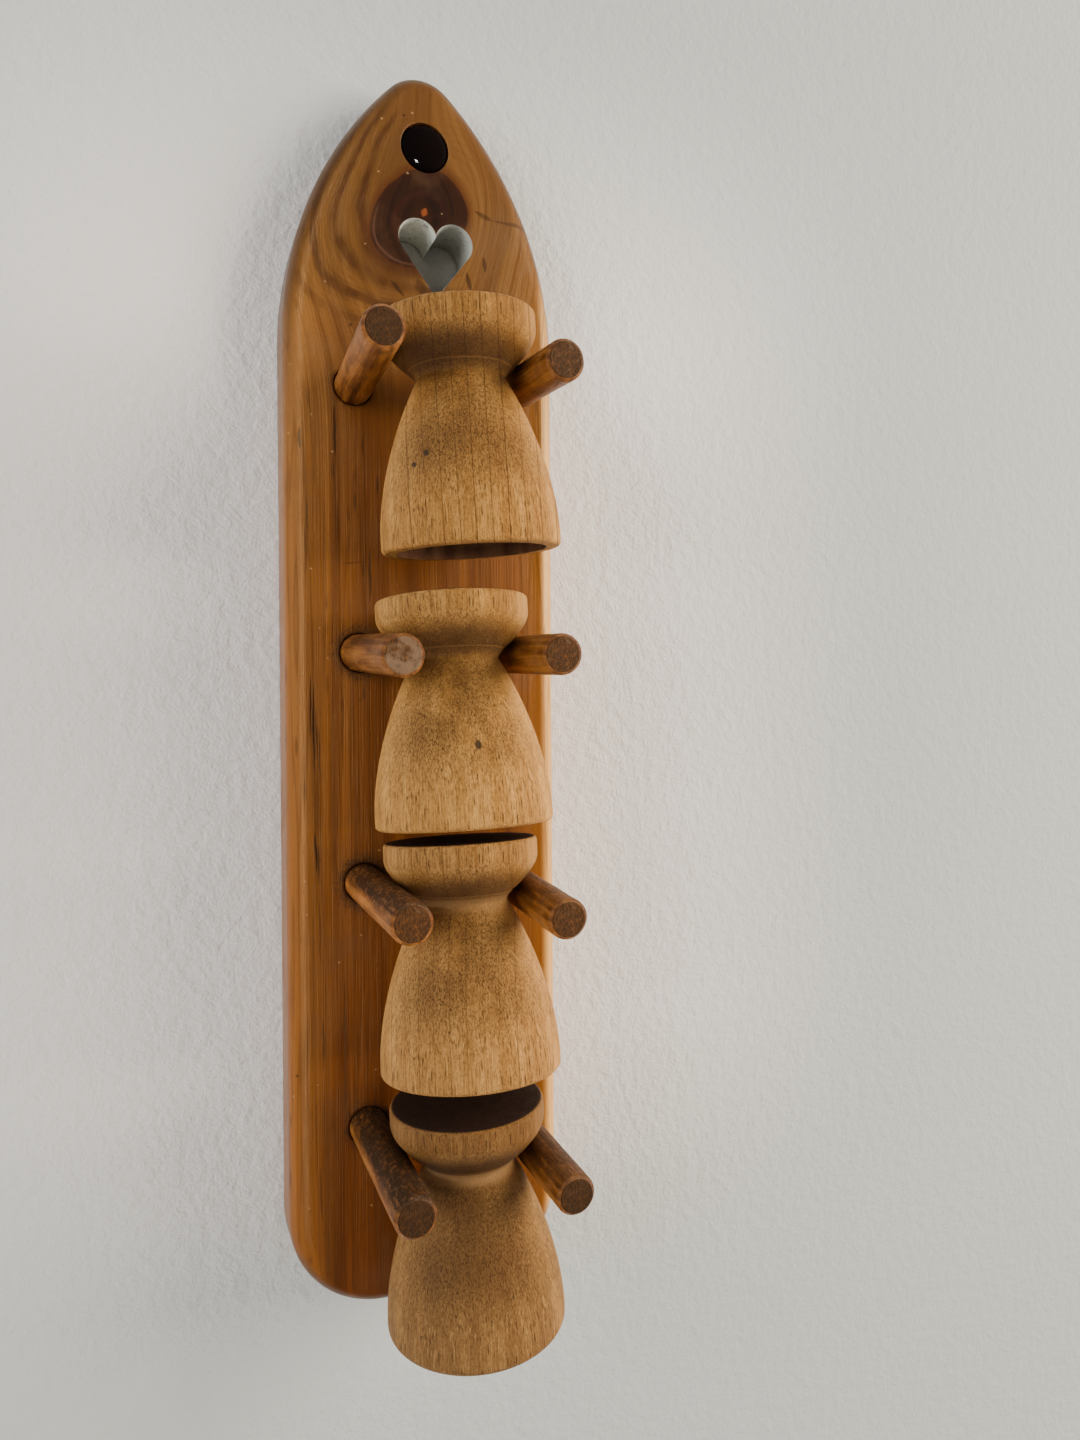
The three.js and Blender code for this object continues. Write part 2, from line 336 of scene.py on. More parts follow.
def reckon(kind, inputs, output=0, **settings):
    """Puts a node where the flows among its inputs are, and gives one of its outputs."""
    tree = next(value.tree for value in inputs.values() if isinstance(value, Flow))
    return Flow(put(tree, kind, inputs, **settings).outputs[output])


def calc(operation, a, b=0.0, clamp=False):
    return reckon("Math", {0: a, 1: b}, operation=operation, use_clamp=clamp)


def vector(operation, a, b, output=0):
    """b is a vector, or for SCALE a number."""
    second = 3 if operation == "SCALE" else 1
    return reckon("VectorMath", {0: a, second: b}, output, operation=operation)


def distance(a, b):
    return vector("DISTANCE", a, b, "Value")


def stretch(place, x, y, z):
    """Scales a place along each axis, so that a pattern on it runs long or short."""
    return vector("MULTIPLY", place, (x, y, z))


def drawn_out(place, width, length):
    """Scales a place so that a pattern on it is this wide, and this long along Z."""
    across, along = 1.0 / width, 1.0 / length
    return vector("MULTIPLY", place, reckon("CombineXYZ", {0: across, 1: across, 2: along}))


def split(place):
    return [Flow(part) for part in put(place.tree, "SeparateXYZ", {0: place}).outputs]


def facing(place):
    """Which way the surface faces, as x, y and z."""
    return split(Flow(put(place.tree, "NewGeometry").outputs["Normal"]))


def rise(value, low, high, start=0.0, end=1.0):
    """Goes smoothly from start to end while the value goes from low to high."""
    ends = {"Value": value, "From Min": low, "From Max": high, "To Min": start, "To Max": end}
    return reckon("MapRange", ends, "Result", interpolation_type="SMOOTHSTEP")


def fall(value, low, high):
    """Goes smoothly from 1 to 0 while the value goes from low to high."""
    return rise(value, low, high, 1.0, 0.0)


def cloud(place, scale=1.0, detail=3.0, roughness=0.55, distortion=0.0):
    shape = {"Scale": scale, "Detail": detail, "Roughness": roughness, "Distortion": distortion}
    return reckon("TexNoise", {"Vector": place, **shape}, "Fac")


def specks(place, scale, least, most):
    """Round specks, scattered evenly."""
    near = reckon("TexVoronoi", {"Vector": place, "Scale": scale}, "Distance")
    return fall(near, least, most)


def mixed(factor, a, b, how="MIX"):
    return reckon("Mix", {0: factor, 6: a, 7: b}, 2, data_type="RGBA", blend_type=how)


def shades(value, stops):
    """Colours a value from stops of (value, colour)."""
    node = put(value.tree, "ValToRGB", {"Fac": value})
    band = node.color_ramp
    while len(band.elements) < len(stops):
        band.elements.new(0.5)
    for element, (position, colour) in zip(band.elements, stops):
        element.position = position
        element.color = colour
    return Flow(node.outputs["Color"])


def shared(name, fill, outputs=("Mask",), **inputs):
    """A shader group with named sockets. fill takes its inputs and gives its outputs by name."""
    tree = bpy.data.node_groups.new(name, "ShaderNodeTree")
    for label, default in {"Place": (0, 0, 0), **inputs}.items():
        kind = "NodeSocketVector" if isinstance(default, tuple) else "NodeSocketFloat"
        tree.interface.new_socket(label, in_out="INPUT", socket_type=kind).default_value = default
    for label in outputs:
        tree.interface.new_socket(label, in_out="OUTPUT", socket_type="NodeSocketFloat")
    entry = tree.nodes.new("NodeGroupInput")
    given = {socket.name: Flow(socket) for socket in entry.outputs if socket.name}
    join(tree.nodes.new("NodeGroupOutput"), fill(given))
    return tree


def use(group, place, **inputs):
    """Places a shared group. Gives its outputs by name, or the only one."""
    node = place.tree.nodes.new("ShaderNodeGroup")
    node.node_tree = group
    join(node, {"Place": place, **inputs})
    found = {socket.name: Flow(socket) for socket in node.outputs}
    return found if len(found) > 1 else found.popitem()[1]


def fill_grain(given):
    """Long bands, thin late-wood lines and fine fibres that run along Z."""
    place = drawn_out(given["Place"], given["Width"], given["Length"])
    bands = cloud(place, 1.0, 2.0, 0.5, 0.2)
    fine = cloud(stretch(place, 9.0, 9.0, 3.0), 1.0, 2.0, 0.6)
    rings = calc("FRACT", bands * 9.0)
    return {
        "Bands": rise(bands, 0.32, 0.68),
        "Lines": fall(abs(rings - 0.5), 0.0, 0.16),
        "Fibres": rise(fine, 0.3, 0.7),
    }


def fill_flecks(given):
    """Short dark marks along Z, such as open pores and resin streaks."""
    place = drawn_out(given["Place"], given["Spacing"], given["Length"])
    cells = put(place.tree, "TexVoronoi", {"Vector": place, "Scale": 1.0})
    near = fall(Flow(cells.outputs["Distance"]), 0.12, 0.34)
    pick = reckon("SeparateColor", {0: Flow(cells.outputs["Color"])})
    return {"Mask": near * rise(given["Amount"] - pick, -0.1, 0.1)}


def fill_grime(given):
    """Patches of handling dirt with soft, broken edges."""
    soft = cloud(given["Place"], 1.0 / given["Size"], 5.0, 0.62)
    low = 0.72 - given["Amount"] * 0.4
    return {"Mask": rise(soft, low, low + 0.2)}


def fill_mark(given):
    """A thin, slightly crooked mark from Start to End, the same at every depth."""
    start, end = given["Start"], given["End"]
    wander = reckon("TexNoise", {"Vector": given["Place"], "Scale": 0.13, "Detail": 2.0}, "Color")
    sway = vector("SCALE", vector("SUBTRACT", wander, (0.5, 0.5, 0.5)), 1.3)
    flat = stretch(vector("ADD", given["Place"], sway), 1, 0, 1)
    ahead = vector("SUBTRACT", flat, start)
    run = vector("SUBTRACT", end, start)
    along = vector("DOT_PRODUCT", ahead, run, "Value")
    share = calc("DIVIDE", along, vector("DOT_PRODUCT", run, run, "Value"), clamp=True)
    away = distance(ahead, vector("SCALE", run, share))
    middle = share * 2.0 - 1.0
    width = given["Width"] * (1.1 - middle * middle)
    return {"Mask": fall(away, width * 0.3, width)}


def fill_growth(given):
    """Yearly growth lines: rings round the heart of the tree, Spacing apart, some stronger."""
    sway = cloud(stretch(given["Place"], 0.05, 0.05, 0.012), 1.0, 2.0)
    out = distance(stretch(given["Place"], 1, 1, 0), given["Heart"])
    years = (out + sway * 1.6) / given["Spacing"]
    luck = reckon("TexWhiteNoise", {"W": calc("FLOOR", years)}, "Value", noise_dimensions="1D")
    line = fall(abs(calc("FRACT", years) - 0.5), 0.012, 0.05)
    return {"Line": line * (luck * 0.55 + 0.45)}


def fill_dust(given):
    """Dust that lies on whatever faces up, in fuzzy clumps."""
    level = rise(facing(given["Place"])[2], 0.15, 0.85)
    clumps = rise(cloud(given["Place"], 0.9, 6.0, 0.75), 0.35, 0.62)
    return {"Mask": calc("MULTIPLY", level * clumps, given["Amount"], clamp=True)}


GRAIN = shared("Long grain", fill_grain, ("Bands", "Lines", "Fibres"), Width=4.0, Length=60.0)
FLECKS = shared("Flecks", fill_flecks, Spacing=1.0, Length=4.0, Amount=0.5)
GRIME = shared("Grime", fill_grime, Size=12.0, Amount=0.5)
MARK = shared("Mark", fill_mark, Start=(0, 0, 0), End=(0, 0, 1), Width=0.5)
GROWTH = shared("Growth", fill_growth, ("Line",), Heart=(0, 0, 0), Spacing=3.0)
DUST = shared("Dust", fill_dust, Amount=0.5)


def new_finish(name):
    """A material with one principled shader, and the place on the piece in millimetres."""
    finish = bpy.data.materials.new(name)
    finish.use_nodes = True
    tree = finish.node_tree
    tree.nodes.clear()
    shader = put(tree, "BsdfPrincipled")
    put(tree, "OutputMaterial", {"Surface": Flow(shader.outputs[0])})
    where = Flow(put(tree, "TexCoord").outputs["Object"])
    return finish, shader, stretch(where, 1000, 1000, 1000)


def feed(shader, **sockets):
    join(shader, {label.replace("_", " "): value for label, value in sockets.items()})


def relief(height, depth):
    """Turns a height into a bumped normal. depth is in millimetres."""
    return reckon("Bump", {"Height": height, "Distance": depth * MM}, "Normal")


# ---- Finishes ----


# Dark resin streaks, cracks and nicks on the backboard: from (x, z), to (x, z), width, strength.
BOARD_MARKS = [
    ((-41.1, 81.7), (-41.2, 74.4), 0.7, 0.95),
    ((-30.4, 90.0), (-30.2, 73.1), 0.7, 0.95),
    ((-19.2, 45.0), (-19.4, 27.0), 0.6, 0.85),
    ((-29.7, 59.5), (-29.5, 45.5), 0.6, 0.45),
    ((-39.4, 60.0), (-39.7, 32.1), 0.5, 0.6),
    ((-28.0, 39.2), (-20.6, 39.9), 0.35, 0.6),
    ((-38.7, 4.0), (-38.4, -16.5), 0.4, 0.95),
    ((-37.7, 1.0), (-37.4, -27.5), 0.5, 1.0),
    ((-36.8, -7.0), (-36.6, -23.5), 0.35, 0.9),
    ((-36.0, -13.0), (-35.9, -31.5), 0.3, 0.8),
    ((-37.5, -46.0), (-37.0, -58.9), 0.5, 1.0),
    ((-36.6, -50.0), (-36.4, -63.0), 0.35, 0.9),
    ((-36.4, -66.9), (-35.9, -88.5), 0.4, 0.5),
    ((-28.6, 2.5), (-28.4, -26.8), 0.45, 0.45),
    ((-35.5, -104.9), (-35.2, -120.9), 0.6, 0.55),
    ((-28.5, -90.0), (-28.4, -146.3), 0.7, 0.5),
    ((-18.8, -120.0), (-19.0, -185.0), 0.8, 0.35),
    ((-36.6, -152.0), (-36.3, -170.0), 0.5, 0.45),
    ((17.1, 158.9), (23.1, 157.0), 1.1, 0.7),
    ((23.1, 157.0), (41.5, 156.6), 0.9, 0.7),
    ((20.2, 144.5), (20.4, 139.5), 1.0, 0.8),
    ((14.2, 138.5), (15.4, 132.0), 1.1, 0.8),
    ((-11.9, 131.6), (-7.3, 126.9), 1.0, 0.8),
    ((-2.6, 133.5), (-1.0, 128.5), 2.2, 0.6),
    ((-7.4, 186.4), (-7.1, 185.6), 0.7, 0.9),
    ((-25.3, 115.6), (-24.6, 115.1), 0.7, 0.9),
    ((-22.9, -4.1), (-22.7, -4.7), 0.6, 0.8),
    ((-43.6, -122.5), (-43.4, -123.4), 0.7, 0.8),
]

# The knot, and the wide growth rings that sweep past it. Both are ovals: their middle (x, z), then
# how far they lean, and their half width and half length.
KNOT_X, KNOT_Z = -2.2, 153.0
KNOT_OVAL = (-44, 14.0, 19.6)
SWEEP_X, SWEEP_Z = 90.1, 228.1
SWEEP_OVAL = (-51.7, 20.0, 63.5)

# Each peg's dust, which also sets the painted shade on its top, how scraped its cut end is, and how
# light its side and its cut end are, partly as painted light and shade. Then the dirt and fluff
# caught round it on the board, with a painted contact shadow: how far it reaches, and how thick it
# is.
PEG_LOOKS = {
    "peg_1_left": (0.15, 0.1, 1.15, 0.58, 1.5, 0.5),
    "peg_1_right": (0.1, 0.35, 0.8, 0.85, 1.5, 0.5),
    "peg_2_left": (0.3, 0.8, 1.0, 1.03, 4.0, 0.8),
    "peg_2_right": (0.2, 0.35, 0.92, 1.0, 1.5, 0.5),
    "peg_3_left": (1.05, 0.3, 1.5, 1.05, 4.5, 0.9),
    "peg_3_right": (0.4, 0.3, 1.15, 1.0, 2.0, 0.5),
    "peg_4_left": (1.2, 0.2, 1.1, 0.55, 2.5, 0.8),
    "peg_4_right": (0.6, 0.2, 1.0, 0.6, 2.0, 0.5),
}


def oval_reach(dx, dz, lean, width, length):
    """How far out a place is from an oval's middle: 1 on its edge."""
    turn = math.radians(lean)
    across = dx * (math.cos(turn) / width) + dz * (math.sin(turn) / width)
    along = dx * (-math.sin(turn) / length) + dz * (math.cos(turn) / length)
    return calc("SQRT", across * across + along * along)


def varnished_pine():
    """The board: old pine under a warm varnish. Each step is laid over the ones before it."""
    finish, shader, place = new_finish("varnished_pine")
    x, y, z = split(place)
    # The knot: an oval that leans to the right, with the grain swept round it.
    dx, dz = x - KNOT_X, z - KNOT_Z
    wander = cloud(stretch(place, 0.07, 0.07, 0.07), 1, 2) - 0.5
    oval = oval_reach(dx, dz, *KNOT_OVAL) + wander * 0.2
    pull = calc("EXPONENT", oval * oval * -0.3)
    bent = reckon("CombineXYZ", {0: x - dx * pull, 1: y, 2: z})
    grain = use(GRAIN, bent, Width=9.0, Length=300.0)
    close = use(GRAIN, bent, Width=3.2, Length=160.0)
    figure = grain["Bands"] * 0.6 + close["Bands"] * 0.4
    bands = [(0.0, tone(76, 43, 17)), (0.35, tone(96, 58, 24))]
    bands += [(0.7, tone(112, 71, 31)), (1.0, tone(130, 88, 42))]
    wood = shades(figure, bands)
    wood = mixed(rise(z, 105.0, 150.0, 0.0, 0.55), wood, tone(88, 58, 28))
    # The foot of the board is darker and redder than its head.
    wood = mixed(rise(z, 130.0, 20.0), wood, (1.22, 0.98, 0.8, 1), "MULTIPLY")
    wood = mixed(rise(z, 40.0, -190.0), wood, (0.74, 0.52, 0.3, 1), "MULTIPLY")
    # Its long edges are lighter than its middle: partly the wood's own tone, partly painted light.
    edge_tone_and_light = rise(abs(x + 1.0), 26.0, 42.0)
    wood = mixed(edge_tone_and_light * 0.4, wood, tone(156, 100, 42))
    # Painted highlight: the rounded right edge is painted much lighter where the window's light
    # catches it.
    right = rise(x, 39.0, 43.0) * rise(y, -9.0, -13.0, 0.45, 1.0)
    wood = mixed(right * 0.85, wood, tone(236, 174, 96))
    # Painted shadow: the middle of the board, behind the cups and pegs, is darkened.
    shade = rise(x, -34.0, -18.0) * fall(x, 10.0, 34.0) * rise(z, 110.0, 70.0)
    wood = mixed(shade * 0.4, wood, tone(84, 44, 18))
    wood = mixed(grain["Lines"] * 0.4, wood, tone(66, 34, 11))
    # Growth rings round the knot, strongest on its left and under it.
    sweep = oval_reach(x - SWEEP_X, z - SWEEP_Z, *SWEEP_OVAL) + wander * 0.08
    rings = calc("SINE", sweep * 42.4 + 3.81)
    around = rise(sweep, 2.06, 2.14) * fall(sweep, 2.5, 2.7)
    left = rise(dx + dz * 0.35, 12.0, -4.0) * rise(z, 196.0, 180.0)
    wood = mixed(left * rise(z, 112.0, 140.0, 0.0, 0.4), wood, tone(70, 46, 16))
    broken = rise(cloud(stretch(place, 0.16, 0.16, 0.08), 1, 3), 0.34, 0.6)
    ringed = around * left * rise(rings, 0.1, 0.95) * (broken * 0.65 + 0.3)
    gold = around * left * rise(rings, -0.1, -0.9)
    wood = mixed(gold * 0.22, wood, tone(124, 80, 30))
    wood = mixed(ringed, wood, tone(54, 27, 10))
    fine_rings = rise(calc("SINE", sweep * 190.0), 0.1, 1.0) * (left * broken)
    fine_rings = fine_rings * rise(sweep, 2.95, 2.6)
    wood = mixed(fine_rings * 0.3, wood, tone(70, 38, 15))
    close_rings = rise(calc("SINE", oval * 47.0), 0.2, 1.0) * broken * rise(oval, 3.0, 1.2)
    wood = mixed(close_rings * 0.22, wood, tone(74, 42, 18))
    # The edges of the head and the foot, where they turn away from the front, are darker.
    ends = rise(z, 60.0, 140.0) + rise(z, -168.0, -192.0)
    turned_away_edges = rise(facing(place)[1], -0.98, -0.6) * ends
    wood = mixed(turned_away_edges * 0.72, wood, tone(56, 32, 16))
    # The knot itself.
    wood = mixed(rise(oval, 0.98, 1.2, 0.8, 0.0), wood, tone(66, 31, 13))
    stained = fall(oval, 1.12, 1.32) * rise(dz, -4.0, -14.0)
    wood = mixed(stained * 0.7, wood, tone(52, 26, 13))
    bands = [(0.0, tone(34, 12, 12)), (0.36, tone(20, 7, 9)), (0.52, tone(34, 12, 13))]
    bands += [(0.6, tone(20, 7, 9)), (0.88, tone(27, 9, 11)), (1.0, tone(38, 14, 10))]
    wood = mixed(fall(oval, 0.96, 1.0), wood, shades(oval, bands))
    pale_ring = rise(oval, 0.86, 0.89) * rise(oval, 0.94, 0.91) * rise(dx + dz, -8.0, -20.0)
    wood = mixed(pale_ring * 0.3, wood, tone(104, 70, 56))
    ember = use(MARK, place, Start=(-0.9, 0, 154.2), End=(0.1, 0, 157.0), Width=1.5)
    wood = mixed(ember * 0.8, wood, tone(128, 64, 30))
    # Resin streaks, cracks, pores and handling dirt.
    for start, end, width, strength in BOARD_MARKS:
        start, end = (start[0], 0, start[1]), (end[0], 0, end[1])
        mark = use(MARK, place, Width=width, Start=start, End=end)
        wood = mixed(mark * strength, wood, tone(40, 20, 9))
    flat = stretch(place, 1, 0, 1)
    face = rise(y, BOARD_FRONT + 1.5, BOARD_FRONT + 0.5)
    fuzz = (cloud(stretch(place, 0.9, 0.9, 0.9), 1, 3, 0.7) - 0.5) * 9.0
    # Dirt and fluff round each peg's foot, with a painted contact shadow in the same ring.
    for name, (*_, reach, thickness) in PEG_LOOKS.items():
        away = distance(flat, (PEGS[name][0], 0, PEGS[name][1])) - fuzz
        fluff_and_shade = fall(away, SOCKET_RADIUS, SOCKET_RADIUS + reach) * face
        wood = mixed(fluff_and_shade * thickness, wood, tone(44, 28, 18))
    streaks = use(FLECKS, bent, Spacing=2.4, Length=13.0, Amount=0.14)
    wood = mixed(streaks * 0.7, wood, tone(48, 24, 9))
    pores = use(FLECKS, bent, Spacing=0.7, Length=3.0, Amount=0.3)
    wood = mixed(pores * 0.32, wood, tone(60, 30, 10))
    wood = mixed((1.0 - close["Fibres"]) * 0.14, wood, tone(80, 42, 12))
    grime = use(GRIME, place, Size=26.0, Amount=0.5)
    wood = mixed(grime * 0.25, wood, tone(78, 46, 24))
    dust = use(DUST, place, Amount=0.35)
    wood = mixed(dust, wood, tone(104, 86, 66))
    # Grains of dust caught in the varnish.
    caught = specks(place, 0.13, 0.03, 0.06)
    wood = mixed(caught * 0.45, wood, tone(176, 140, 96))
    lumps = cloud(stretch(place, 0.12, 0.12, 0.05), 1, 2)
    height = close["Fibres"] * 0.25 + lumps + caught * 0.6
    feed(
        shader,
        Base_Color=wood,
        Roughness=grime * 0.12 + rise(x, 34.0, 40.0, 0.3, 0.15) + dust * 0.4,
        Normal=relief(height, 0.12),
        Specular_IOR_Level=0.42,
        Specular_Tint=(1.0, 0.74, 0.42, 1.0),
    )
    return finish


def pale_paint():
    """The paint inside the heart, with painted shade at its tip and on its right, and painted light
    on its left.
    """
    finish, shader, place = new_finish("pale_paint")
    x, _, z = split(place)
    grime = use(GRIME, place, Size=5.0, Amount=0.5)
    colour = mixed(grime * 0.4, tone(174, 174, 164), tone(110, 108, 96))
    # Painted shade at the tip of the heart, deep in the cut.
    low = rise(z, HEART_Z - 2.0, HEART_Z - 8.0)
    colour = mixed(low * 0.7, colour, tone(92, 92, 90))
    # Painted shade on the right of the heart, and painted light on its left.
    colour = mixed(rise(x, 3.0, 9.0), colour, grey(0.8), "MULTIPLY")
    colour = mixed(rise(x, 3.0, -3.0), colour, grey(1.25), "MULTIPLY")
    blots = rise(cloud(place, 0.45, 3), 0.6, 0.66)
    colour = mixed(blots * 0.6, colour, tone(70, 66, 58))
    brush = use(GRAIN, place, Width=1.2, Length=5.0)["Bands"]
    feed(shader, Base_Color=colour, Roughness=brush * 0.15 + 0.35, Normal=relief(brush, 0.08))
    return finish


def stained_dowel(name, dustiness_and_shade, scraped, side_tone_and_light, end_tone_and_light):
    """A peg's stained wood, with what has settled on it, and the light and shade painted on each
    peg.
    """
    finish, shader, place = new_finish(name)
    z = split(place)[2]
    grain = use(GRAIN, place, Width=2.4, Length=40.0)
    bands = [(0.0, tone(70, 36, 12)), (0.5, tone(106, 60, 21)), (1.0, tone(136, 84, 37))]
    side = shades(grain["Bands"], bands)
    worn = cloud(stretch(place, 0.16, 0.16, 0.06), 1, 3)
    side = mixed(rise(worn, 0.5, 0.64, 0.0, 0.45), side, tone(146, 94, 50))
    side = mixed(rise(worn, 0.48, 0.36, 0.0, 0.5), side, tone(64, 34, 14))
    # Each peg's side is lightened or darkened on its own, partly as painted light and shade.
    side = mixed(1.0, side, grey(side_tone_and_light), "MULTIPLY")
    pores = use(FLECKS, place, Spacing=0.7, Length=4.0, Amount=0.45)
    side = mixed(pores * 0.6, side, tone(52, 28, 14))
    # The cut end is darker and shows the pores end on.
    speckle = cloud(stretch(place, 2.6, 1.1, 0.3), 1, 3, 0.7)
    bands = [(0.3, tone(24, 9, 0)), (0.5, tone(59, 30, 4)), (0.72, tone(100, 56, 14))]
    bare = use(GRIME, place, Size=4.0, Amount=scraped)
    end = mixed(bare * 0.5, shades(speckle, bands), tone(134, 108, 84))
    # Each peg's cut end is lightened or darkened on its own, partly as painted shade.
    end = mixed(1.0, end, grey(end_tone_and_light), "MULTIPLY")
    tip = rise(z, PEG_REACH - 0.25, PEG_REACH - 0.05)
    # A lighter ring on the chamfer, partly a painted highlight.
    rim = rise(z, PEG_REACH - PEG_CHAMFER - 0.3, PEG_REACH - PEG_CHAMFER + 0.3) * (1.0 - tip)
    colour = mixed(rim * 0.18, side, tone(132, 82, 50))
    colour = mixed(tip, colour, end)
    grime = use(GRIME, place, Size=9.0, Amount=0.6)
    colour = mixed(grime * 0.4, colour, tone(60, 36, 20))
    # Soot, lint and dust lie on top. The dark soot is partly painted shade on the tops of the pegs.
    soot_and_shade = rise(facing(place)[2], -0.05, 0.6) * min(0.94, dustiness_and_shade * 0.84)
    fluffy = cloud(stretch(place, 0.7, 0.7, 0.4), 1, 5, 0.75)
    soot_and_shade = soot_and_shade * rise(fluffy, 0.36, 0.54, 0.3, 1.0)
    colour = mixed(soot_and_shade, colour, tone(27, 15, 7))
    lint = soot_and_shade * rise(fluffy, 0.6, 0.7)
    colour = mixed(lint * 0.5, colour, tone(112, 88, 66))
    dust = use(DUST, place, Amount=dustiness_and_shade * 0.45)
    colour = mixed(dust, colour, tone(50, 35, 24))
    feed(
        shader,
        Base_Color=colour,
        Roughness=calc("MAXIMUM", soot_and_shade, tip) * 0.3 + 0.4 + rim * -0.16,
        Normal=relief(grain["Fibres"] + dust * 1.5, 0.1),
        Specular_IOR_Level=0.3,
        Specular_Tint=(1.0, 0.76, 0.52, 1.0),
    )
    return finish


def beech(name, pale, deep, dirt, highlight_below_waist, heart, years, spots):
    """Turned beech. pale and deep are the wood's two tones, dirt is how grubby the cup is and also
    how strong the painted shade is on its front and under its foot, the next figure is how strong
    the painted highlight just below its waist is, heart is where the middle of the tree was, years
    is how strong the growth lines are, and spots are small dark marks at (turn about the cup in
    degrees from its front, height, radius)."""
    finish, shader, place = new_finish(name)
    x, y, z = split(place)
    grain = use(GRAIN, place, Width=5.0, Length=90.0)
    wood = mixed(grain["Bands"], deep, pale)
    growth = use(GROWTH, place, Heart=heart, Spacing=4.6)
    wood = mixed(growth * years, wood, tone(80, 46, 20))
    wood = mixed((1.0 - grain["Fibres"]) * 0.35, wood, tone(120, 76, 32))
    straw = cloud(stretch(place, 2.3, 2.3, 0.1), 1, 3, 0.7)
    wood = mixed(rise(straw, 0.5, 0.64, 0.0, 0.5), wood, tone(92, 57, 22))
    wood = mixed(rise(straw, 0.44, 0.32, 0.0, 0.4), wood, tone(226, 176, 104))
    # Hands have soiled the front of the belly, and painted shade darkens that front as well.
    grime = use(GRIME, place, Size=11.0, Amount=dirt)
    front_dirt_and_shade = rise(z, 10.0, 30.0, 0.3, 1.0) * rise(z, 52.0, 66.0, 1.0, 0.4)
    front_dirt_and_shade = front_dirt_and_shade * rise(x * 0.37 + y * 0.93, -4.0, -23.0, 0.1, 1.0)
    wood = mixed(front_dirt_and_shade * (grime * 0.3 + dirt * 0.4), wood, tone(86, 58, 30))
    # Dirt sits in the open pores, most where the cup is handled and near both of its ends.
    ends = calc("MAXIMUM", rise(z, 59.0, 66.0), rise(z, 22.0, 4.0))
    # Painted shade under the overhang of the foot, stronger on the grubbier cups.
    wood = mixed(rise(z, 58.0, 64.0, 0.0, 0.22 * dirt * dirt), wood, tone(98, 62, 28))
    pores = use(FLECKS, place, Spacing=0.5, Length=5.0, Amount=0.6)
    wood = mixed(pores * 0.6, wood, tone(72, 42, 16))
    open_pores = use(FLECKS, place, Spacing=0.9, Length=7.0, Amount=0.5)
    wood = mixed(open_pores * (ends * 0.4 + 0.45), wood, tone(54, 32, 14))
    stipple = rise(cloud(stretch(place, 2.4, 2.4, 1.1), 1, 3, 0.75), 0.48, 0.6)
    stipple = stipple * (front_dirt_and_shade * (grime * 0.35 + 0.3) + 0.22)
    wood = mixed(stipple, wood, tone(62, 38, 17))
    speck = specks(stretch(place, 1, 1, 0.6), 0.14, 0.035, 0.07)
    wood = mixed(speck * 0.75, wood, tone(52, 36, 24))
    # The waist: painted shade in the crease under the foot, a painted highlight just below it, and
    # a painted highlight along its groove.
    waist_shade = rise(z, 46.0, 53.5) * fall(z, 56.5, 62.0)
    wood = mixed(waist_shade * 0.72, wood, tone(62, 36, 15))
    waist_highlight = rise(z, 47.3, 50.0) * fall(z, 51.8, 53.2)
    wood = mixed(waist_highlight * highlight_below_waist, wood, tone(186, 142, 92))
    line = rise(z, 52.9, 53.15) * fall(z, 53.3, 53.55)
    wood = mixed(line * 0.24, wood, tone(160, 114, 64))
    flat = stretch(place, 1.0, 0.35, 0.7)
    for turn, height, radius in spots:
        angle = math.radians(turn - 90)
        reach = 24.0 if height < 30 else 20.0
        mark = (reach * math.cos(angle), reach * math.sin(angle) * 0.35, height * 0.7)
        spot = fall(distance(flat, mark), radius * 0.6, radius)
        wood = mixed(spot * 0.9, wood, tone(44, 34, 26))
    # The foot's flat top is dark: partly a dark stain, partly painted shade.
    wood = mixed(rise(z, CUP_HEIGHT - 0.4, CUP_HEIGHT - 0.05), wood, tone(42, 28, 22))
    feed(
        shader,
        Base_Color=wood,
        Roughness=grain["Bands"] * 0.1 + 0.6,
        Normal=relief(grain["Fibres"] * 0.5 - pores * 0.7, 0.16),
        Specular_IOR_Level=0.25,
    )
    return finish


def egg_hollow():
    """The inside of the cups, darker than the outside, with the marks of the lathe."""
    finish, shader, place = new_finish("egg_hollow")
    grain = use(GRAIN, place, Width=4.0, Length=60.0)["Bands"]
    wood = mixed(grain, tone(104, 68, 46), tone(130, 92, 64))
    grime = use(GRIME, place, Size=9.0, Amount=0.6)
    wood = mixed(grime * 0.5, wood, tone(60, 40, 30))
    lathe_marks = cloud(stretch(place, 0.02, 0.02, 1.4), 1, 2)
    feed(
        shader,
        Base_Color=wood,
        Roughness=grime * 0.15 + 0.6,
        Normal=relief(lathe_marks, 0.15),
        Specular_IOR_Level=0.2,
    )
    return finish


def black_enamel():
    finish, shader, place = new_finish("black_enamel")
    wear = use(GRIME, place, Size=3.0, Amount=0.3)
    feed(
        shader,
        Base_Color=mixed(wear, tone(14, 9, 9), tone(34, 18, 14)),
        Roughness=wear * 0.06 + 0.07,
        Normal=relief(cloud(place, 0.8, 2), 0.01),
        Specular_IOR_Level=0.012,
    )
    return finish


PINE = varnished_pine()
PAINT = pale_paint()
ENAMEL = black_enamel()
HOLLOW = egg_hollow()


# ---- Backboard ----


